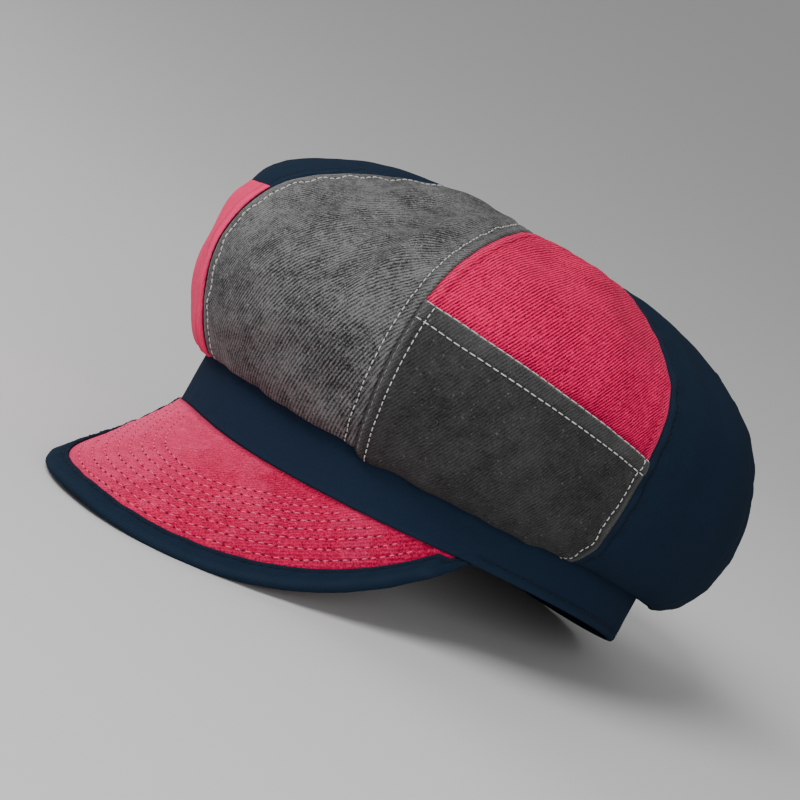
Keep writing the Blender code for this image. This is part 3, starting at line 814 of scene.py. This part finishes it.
MOUTH_HEM = 0.0060
MOUTH_EDGE = 0.0002
MOUTH_MARGIN = 0.0006
POCKETS = (("pocket_left", LEFT_SIDE, "dark_grey"), ("pocket_right", RIGHT_SIDE, "plain_pink"))
for name, index, cloth_name in POCKETS:
    hemmed = index == LEFT_SIDE
    part = Surface(*[value[:, FINE_UNDER - 3 : MOUTH + 1] for value in plain_gores[index]])
    around, run = part.cloth[..., 0], part.cloth[..., 1]
    from_mouth = run[:, -1:] - run
    near = np.minimum(part.from_start, part.from_end)
    relief = CLEARANCE + POCKET_WALL - (POCKET_WALL - 0.0006) * bell(near, 0.0030)
    relief += seam_relief(part.from_start, run, 31 + index) + seam_relief(part.from_end, run, 32 + index)
    relief += LUMP_HEIGHT * ripple(around, run, 0.020, seed=90 + index)
    from_row = from_mouth - MOUTH_HEM
    if hemmed:
        relief += 0.00040 * below(from_row, 0.0003) - 0.00030 * bell(from_row, MARK_WIDTH)
        relief += 0.00022 * ripple(around, run * 0, 0.012, seed=95, strands=6) * bell(from_row, 0.004)
        relief -= 0.00045 * bell(from_mouth, MARK_WIDTH)
    else:
        relief -= 0.00080 * bell(from_mouth, 0.0050)
    hem = bell(part.along, 0.06)
    relief += 0.00020 * hem * ripple(around, run * 0.3, HEM_WAVE_SIZE, seed=98 + index, strands=6)
    relief = np.maximum(relief, CLEARANCE + 0.0004)
    dressed = add_relief(part, relief)
    # ridge is paler along the pocket's seam allowances; groove is painted shade along its rows of stitches
    ridge = 0.40 * bell(near - 0.0014, 0.0010)
    groove = 0.35 * bell(near - STITCH_INSET, MARK_WIDTH)
    if hemmed:
        # a paler hem, a painted highlight along the folded mouth edge, and painted shade along the hem's
        # row
        ridge += 0.16 * below(from_row, 0.0004) + 0.95 * bell(from_mouth - 0.0001, 0.0004)
        groove += 0.40 * bell(from_row, MARK_WIDTH)
    wear = np.stack([np.clip(ridge, 0, 1), np.clip(groove, 0, 1)], axis=-1)
    inside = part.points + CLEARANCE * 0.5 * part.normals
    piece = cloth_object(name + "_cloth", dressed.points, inside, twills[cloth_name], part.cloth, wear)
    dress(piece, [name])
    thread = "white" if hemmed else "rose"
    rows = dressed.points.shape[1]
    for from_end in (False, True) if hemmed else (False,):
        line, ups = line_at(dressed, STITCH_INSET, from_end, 0, rows - 1)
        threads[thread] += stitch_row(line, ups, TOPSTITCH, stop=0.0004)
    if hemmed:
        line, ups = line_at(dressed, 0.0012, False, 4, rows - 6)
        threads["grey"] += stitch_row(line, ups, FINE_STITCH)
        for depth, kind in ((MOUTH_HEM, HEM_STITCH), (MOUTH_EDGE, EDGE_THREAD)):
            columns = zip(dressed.points, dressed.normals, from_mouth)
            line, ups = zip(*[row_at(*column, depth) for column in columns])
            line, ups = np.array(line), unit(np.array(ups))
            threads[thread] += stitch_row(line, ups, kind, start=MOUTH_MARGIN, stop=MOUTH_MARGIN)

# Headband

BAND_ROW = 0.0035  # from the headband's lower edge to its row of stitches
BAND_ROWS = 29
azimuths = np.arange(360)
band = np.zeros((len(azimuths), BAND_ROWS, 3))
for i, azimuth in enumerate(azimuths):
    bottom = hem_height(azimuth)
    band[i, :, :2] = band_outline(azimuth)
    band[i, :, 2] = bottom + np.linspace(0, 1, BAND_ROWS) * (BAND_HEIGHT - bottom)
steps = np.linalg.norm(np.roll(band[:, 0], -1, axis=0) - band[:, 0], axis=1)
around = np.concatenate([[0.0], np.cumsum(steps)[:-1]])
height = band[:, :, 2] - band[:, :1, 2]
cloth = np.stack([np.broadcast_to(around[:, None], height.shape), height], axis=-1)
turn = np.radians(azimuths)
out = unit(np.stack([np.sin(turn) / BAND_WIDTH, -np.cos(turn) / BAND_LENGTH], axis=-1))
out = np.column_stack([out, np.zeros(len(azimuths))])
wrap = turn[:, None]
behind_peak = (np.minimum(azimuths, 360 - azimuths) > PEAK_HALF_ANGLE)[:, None] * 1.0
from_row = height - BAND_ROW
relief = 0.00020 * (np.sin(37 * wrap + 1.3) + np.sin(61 * wrap) * 0.7) * bell(from_row, 0.004)
relief -= 0.00030 * behind_peak * bell(from_row, MARK_WIDTH)
relief -= 0.00060 * behind_peak * bell(height, MARK_WIDTH)
relief += 0.00030 * np.sin(9 * wrap + 2.0 + 60 * height)
relief = np.minimum(relief, 0.0002)
outer = band + relief[..., None] * out[:, None]
inner = band.copy()
for i, azimuth in enumerate(azimuths):
    inner[i, :, :2] = band_outline(azimuth, BAND_WALL)
# paler along the lower edge; painted shade along the row of stitches behind the peak
wear = np.stack([0.3 * bell(height, 0.0014), 0.3 * behind_peak * bell(from_row, 0.0007)], axis=-1)
piece = cloth_object("headband_cloth", outer, inner, twills["brightened_navy"], cloth, wear, ring=steps.sum())
dress(piece, ["headband"])
line = [[np.interp(BAND_ROW, height[i], outer[i, :, k]) for k in range(3)] for i in range(len(azimuths))]
sewn = behind_peak[:, 0] > 0
threads["navy"] += stitch_row(np.array(line)[sewn], out[sewn], FINE_STITCH)

# Peak


NUDGE = 1e-4
TURN_NUDGE = 0.1


def peak_share(azimuth):
    return np.clip(np.abs(azimuth) / PEAK_HALF_ANGLE, 0, 1)


def peak_point(azimuth, reach):
    twist = PEAK_TWIST * azimuth / PEAK_HALF_ANGLE
    slope = PEAK_SLOPE + PEAK_SIDE_SLOPE * peak_share(azimuth) ** 2 + twist
    drop = reach * math.tan(math.radians(slope))
    rim = band_outline(azimuth)
    return np.array([rim[0], rim[1] - reach, hem_height(azimuth) - CLEARANCE - drop])


def peak_up(azimuth, reach):
    forward = peak_point(azimuth, reach + NUDGE) - peak_point(azimuth, reach)
    side = peak_point(azimuth + TURN_NUDGE, reach) - peak_point(azimuth - TURN_NUDGE, reach)
    up = np.cross(side, -forward)
    return up / np.linalg.norm(up)


def board_reach(azimuth):
    whole = PEAK_REACH * (1 - peak_share(azimuth) ** PEAK_OUTLINE_POWER) ** PEAK_CORNER_POWER
    return whole - (CLEARANCE + BINDING_WALL)


def azimuth_of_reach(reach):
    low, high = 0.0, PEAK_HALF_ANGLE
    for _ in range(40):
        middle = (low + high) / 2
        if board_reach(middle) > reach:
            low = middle
        else:
            high = middle
    return low


def edge_frame(azimuth):
    """A point of the board's edge, with the directions up and outwards there."""
    reach = board_reach(azimuth)
    ahead = peak_point(azimuth + TURN_NUDGE, board_reach(azimuth + TURN_NUDGE))
    behind = peak_point(azimuth - TURN_NUDGE, board_reach(azimuth - TURN_NUDGE))
    along = (ahead - behind) / np.linalg.norm(ahead - behind)
    up = peak_up(azimuth, reach)
    return peak_point(azimuth, reach), up, np.cross(along, up)


def inset_reach(azimuth, inset):
    """How far out a line lies that keeps this distance from the board's edge."""
    reach = board_reach(azimuth)
    point, _, outwards = edge_frame(azimuth)
    per_reach = abs(np.dot(peak_point(azimuth, reach + NUDGE) - point, outwards)) / NUDGE
    return reach - inset / per_reach


FLAP = BINDING_WIDTH - PEAK_WALL / 2 - CLEARANCE - BINDING_WALL
PEAK_ROW_START = 0.0035
PEAK_ROW_STEP = 0.0047
PEAK_ROW_COUNT = 8
PEAK_COLUMNS = 221
PEAK_STEPS = 90
FEWEST_POINTS = 8  # that a row of stitches needs
DARK_HOLES_FROM = -0.015  # further to the wearer's right, the needle holes' painted shade is faint, drawn in rose thread
bound = azimuth_of_reach(BINDING_END_REACH)
end = azimuth_of_reach(PEAK_END_REACH)
share = np.linspace(0, 1, PEAK_STEPS)
top, bottom, inset = [], [], []
for azimuth in np.linspace(-end, end, PEAK_COLUMNS)[::-1]:
    tuck = CLEARANCE + PEAK_TUCK * (1 - peak_share(azimuth) ** 2)
    reach = share * board_reach(azimuth)
    above = [np.array([*band_outline(azimuth, tuck), hem_height(azimuth) - 0.1 * CLEARANCE])]
    above += [peak_point(azimuth, r) + [0, 0, 0.9 * CLEARANCE * math.exp(-r / 0.0012)] for r in reach]
    ups = [peak_up(azimuth, r) for r in [0.0, *reach]]
    scale = (board_reach(azimuth) - inset_reach(azimuth, 0.001)) / 0.001
    inset.append(np.concatenate([[board_reach(azimuth)], board_reach(azimuth) - reach]) / scale)
    top.append(above)
    bottom.append([point - PEAK_WALL * up for point, up in zip(above, ups)])
top, bottom, inset = np.array(top), np.array(bottom), np.array(inset)
cloth = np.stack([top[..., 0], -top[..., 1] - 0.4 * top[..., 2]], axis=-1)
across, along = cloth[..., 0], cloth[..., 1]
rows_at = FLAP + PEAK_ROW_START + PEAK_ROW_STEP * np.arange(PEAK_ROW_COUNT)
relief = np.zeros(inset.shape)
groove = np.zeros(inset.shape)
# each row of stitches draws the cloth down, and groove paints shade along it
for row in rows_at:
    relief -= 0.00038 * bell(inset - row, 0.00070)
    groove += 0.06 * bell(inset - row, MARK_WIDTH)
relief += 0.00016 * ripple(across, along, 0.007, seed=7)
relief += 0.00030 * ripple(across, along, 0.026, seed=8)
relief += 0.00010 * ripple(across, along, 0.0036, seed=9)
keep = np.clip((inset - FLAP - 0.001) / 0.002, 0, 1)
keep[:, :3] = 0.0
# painted shade along the first rows, where the peak tucks under the headband
root = np.zeros(inset.shape)
root[:, :4] = (0.7, 0.7, 0.55, 0.25)
relief = np.minimum(relief * keep, 0.0004)
top_dressed = top + relief[..., None] * grid_normals(top)
ups = grid_normals(top_dressed)
# painted light, paler towards the wearer's right end, and painted shade, darker towards the left end
painted_side_light = 0.80 * np.clip((0.020 - across) / 0.065, 0, 1)
shaded = 0.30 * np.clip((across - 0.020) / 0.050, 0, 1)
ridge = 0.2 * np.clip(relief / 0.0003, 0, 1) + painted_side_light
wear = np.stack([ridge, np.clip(groove * keep + root + shaded, 0, 1)], axis=-1)
piece = cloth_object("peak_cloth", top_dressed, bottom, twills["peak_pink"], cloth, wear)
dress(piece, ["peak"])
for row in rows_at:
    columns = [k for k in range(PEAK_COLUMNS) if inset[k, 2] > row + 0.001]
    if len(columns) > FEWEST_POINTS:
        line, line_up = zip(*[row_at(top_dressed[k], ups[k], inset[k], row) for k in columns])
        line, line_up = np.array(line), unit(np.array(line_up))
        threads["pink"] += stitch_row(line, line_up, PEAK_STITCH)
        # short dark tubes between the stitches: painted shade in the needle holes
        hole_start = STITCH_START + PEAK_STITCH.length + 0.0003
        for tube in stitch_row(line, line_up, NEEDLE_HOLE, start=hole_start):
            threads["holes" if tube[..., 0].mean() > DARK_HOLES_FROM else "rose"].append(tube)

# Binding

FOLD_HALF = PEAK_WALL / 2 + CLEARANCE + BINDING_WALL
TUCK = 0.0020  # how far the binding's ends reach in under the headband
TUCK_SPAN = 2.0  # over this many degrees
BINDING_ROW = 0.0022
BINDING_COLUMNS = 241
FLAP_STEPS = 12
TAIL_END = 0.992
TAIL_COLUMNS = 13
outside, inside, cloth, wear, seam_line, seam_up = [], [], [], [], [], []
run = 0.0
previous = None
tail = np.linspace(bound, TAIL_END * PEAK_HALF_ANGLE, TAIL_COLUMNS)[1:]
for azimuth in np.concatenate([-tail[::-1], np.linspace(-bound, bound, BINDING_COLUMNS), tail])[::-1]:
    taper = np.clip((PEAK_HALF_ANGLE - abs(azimuth)) / (PEAK_HALF_ANGLE - bound), 0, 1)
    edge = max(board_reach(azimuth), BINDING_END_REACH * taper)
    inner_reach = min(max(inset_reach(azimuth, FLAP), 2 * CLEARANCE), edge - 0.1 * CLEARANCE)
    inner_reach -= TUCK * np.clip((abs(azimuth) - bound + TUCK_SPAN) / TUCK_SPAN, 0, 1)
    section = []
    for reach in np.linspace(inner_reach, edge, FLAP_STEPS):
        point, up = peak_point(azimuth, reach), peak_up(azimuth, reach)
        section.append((point - up * PEAK_WALL / 2, up))
    point, up, outwards = edge_frame(azimuth)
    heart = point - up * PEAK_WALL / 2
    for turn in np.linspace(0, math.pi, 10)[1:-1]:
        section.append((heart, math.cos(turn) * up + math.sin(turn) * outwards))
    section += [(middle, -way) for middle, way in section[FLAP_STEPS - 1 :: -1]]
    far = FOLD_HALF * (0.25 + 0.75 * taper)
    if previous is not None:
        run += np.linalg.norm(point - previous)
    previous = point
    shell = np.array([middle + far * way for middle, way in section])
    steps = np.linalg.norm(np.diff(shell, axis=0), axis=1)
    across = np.concatenate([[0.0], np.cumsum(steps)])
    from_row = across - BINDING_ROW
    height = -0.00055 * bell(across, MARK_WIDTH) - 0.00034 * bell(from_row, MARK_WIDTH)
    height += 0.00022 * math.sin(2 * math.pi * run / 0.0093) * bell(from_row, 0.0025)
    height += 0.00012 * math.sin(2 * math.pi * run / 0.0161 + 1.0)
    height = np.where(across > across[-1] / 2, 0.0, height)
    height = np.minimum(height, 0.0002)
    ways = np.array([way for _, way in section])
    shell = shell + height[:, None] * ways
    deep = (far - BINDING_WALL - CLEARANCE * 0.5) * max(taper, 0.2)
    core = np.array([middle + deep * way for middle, way in section])
    ceiling = hem_height(azimuth) - 0.15 * CLEARANCE
    shell[:, 2] = np.minimum(shell[:, 2], ceiling)
    core[:, 2] = np.minimum(core[:, 2], ceiling - CLEARANCE)
    outside.append(shell)
    inside.append(core)
    cloth.append(np.stack([np.full(len(across), run), across], axis=-1))
    # paler at the fold's rim and the flap's edge, and painted shade along the row of stitches
    rim_wear = 0.55 * bell(across - FLAP - 0.0036, 0.0022) + 0.3 * bell(across, 0.0008)
    wear.append(np.stack([rim_wear, 0.4 * bell(from_row, MARK_WIDTH)], axis=-1))
    seam_line.append([np.interp(BINDING_ROW, across, shell[:, k]) for k in range(3)])
    seam_up.append([np.interp(BINDING_ROW, across, ways[:, k]) for k in range(3)])
outside, inside, cloth, wear = map(np.array, (outside, inside, cloth, wear))
piece = cloth_object("peak_binding_cloth", outside, inside, twills["navy"], cloth, wear)
dress(piece, ["peak_binding"])
threads["navy"] += stitch_row(np.array(seam_line), unit(np.array(seam_up)), FINE_STITCH)

for colour, material, slot in (
    ("white", white_thread, "grey_twill"),
    ("grey", grey_thread, "grey_twill"),
    ("rose", rose_thread, "pink_twill"),
    ("pink", pink_thread, "pink_twill"),
    ("holes", hole_shade, "pink_twill"),
    ("navy", navy_thread, "navy_twill"),
):
    stitch_object(colour + "_stitches", threads[colour], material)

# Floor, light and camera

FLOOR_FRONT = -4.0
FLOOR_BACK = 0.9  # where the floor starts to sweep up
FLOOR_HALF_WIDTH = 5.0
FLOOR_COLOUR = 0.62
SWEEP_RADIUS = 3.5
SWEEP_ANGLE = 70
FLOOR_TURN = 36
STUDIO_LIGHT = 0.32
CAMERA_AZIMUTH = 36.24
CAMERA_ELEVATION = 2.06
CAMERA_ROLL = 29.72
CAMERA_DISTANCE = 0.9
PIXELS_PER_METRE = 2650.0
FRAME_PIXELS = 800
SENSOR_WIDTH = 36.0
TARGET = np.array([0.0, 0.0, 0.05])
TARGET_PIXEL = (468.91, 402.62)

sweep = [(FLOOR_FRONT, 0.0), (FLOOR_BACK, 0.0)]
for turn in np.linspace(0, math.radians(SWEEP_ANGLE), 33)[1:]:
    sweep.append((FLOOR_BACK + SWEEP_RADIUS * math.sin(turn), SWEEP_RADIUS * (1 - math.cos(turn))))
mesh = bpy.data.meshes.new("floor")
body = bmesh.new()
left = [body.verts.new((-FLOOR_HALF_WIDTH, y, z)) for y, z in sweep]
right = [body.verts.new((FLOOR_HALF_WIDTH, y, z)) for y, z in sweep]
for k in range(len(sweep) - 1):
    body.faces.new((left[k], right[k], right[k + 1], left[k + 1]))
body.to_mesh(mesh)
body.free()
mesh.shade_smooth()
floor = bpy.data.objects.new("floor", mesh)
floor.rotation_euler = (0.0, 0.0, math.radians(FLOOR_TURN))
pale = bpy.data.materials.new("pale_floor")
pale.use_nodes = True
shader = pale.node_tree.nodes["Principled BSDF"]
shader.inputs["Base Color"].default_value = (FLOOR_COLOUR, FLOOR_COLOUR, FLOOR_COLOUR, 1.0)
shader.inputs["Roughness"].default_value = 0.9
mesh.materials.append(pale)
bpy.context.collection.objects.link(floor)

world = bpy.data.worlds.new("studio")
world.use_nodes = True
world.node_tree.nodes["Background"].inputs["Color"].default_value = (1.0, 1.0, 1.0, 1.0)
world.node_tree.nodes["Background"].inputs["Strength"].default_value = STUDIO_LIGHT
bpy.context.scene.world = world


def facing(azimuth, elevation):
    """Directions right, up and back of something that looks at the cap from here."""
    a, e = math.radians(azimuth), math.radians(elevation)
    back = np.array([math.sin(a) * math.cos(e), -math.cos(a) * math.cos(e), math.sin(e)])
    right = np.array([math.cos(a), math.sin(a), 0.0])
    return right, np.cross(back, right), back


def put(name, data, axes, place):
    """A new object with these three directions as its axes, at this place."""
    made = bpy.data.objects.new(name, data)
    made.matrix_world = Matrix([[*axes[:, k], place[k]] for k in range(3)] + [[0.0, 0.0, 0.0, 1.0]])
    bpy.context.collection.objects.link(made)
    return made


def lamp(name, azimuth, elevation, distance, size, power):
    data = bpy.data.lights.new(name, "AREA")
    data.shape = "DISK"
    data.size = size
    data.energy = power
    axes = np.array(facing(azimuth, elevation))
    put(name, data, axes, axes[2] * distance)


lamp("key", 0, 50, 1.5, 0.9, 18.0)
lamp("fill", 58, 14, 2.0, 1.6, 18.0)
lamp("side", -80, 22, 1.8, 1.0, 13.0)
lamp("back", 190, 45, 1.8, 1.0, 2.0)

right, up, back = facing(CAMERA_AZIMUTH, CAMERA_ELEVATION)
roll = math.radians(CAMERA_ROLL)
rolled = [right * math.cos(roll) + up * math.sin(roll), up * math.cos(roll) - right * math.sin(roll), back]
axes = np.array(rolled) @ TURN.T
data = bpy.data.cameras.new("camera")
data.sensor_width = SENSOR_WIDTH
data.lens = PIXELS_PER_METRE * CAMERA_DISTANCE / FRAME_PIXELS * SENSOR_WIDTH
data.shift_x = (FRAME_PIXELS / 2 - TARGET_PIXEL[0]) / FRAME_PIXELS
data.shift_y = (TARGET_PIXEL[1] - FRAME_PIXELS / 2) / FRAME_PIXELS
data.clip_start = 0.05
camera = put("camera", data, axes, TURN @ TARGET + SHIFT + axes[2] * CAMERA_DISTANCE)
bpy.context.scene.camera = camera
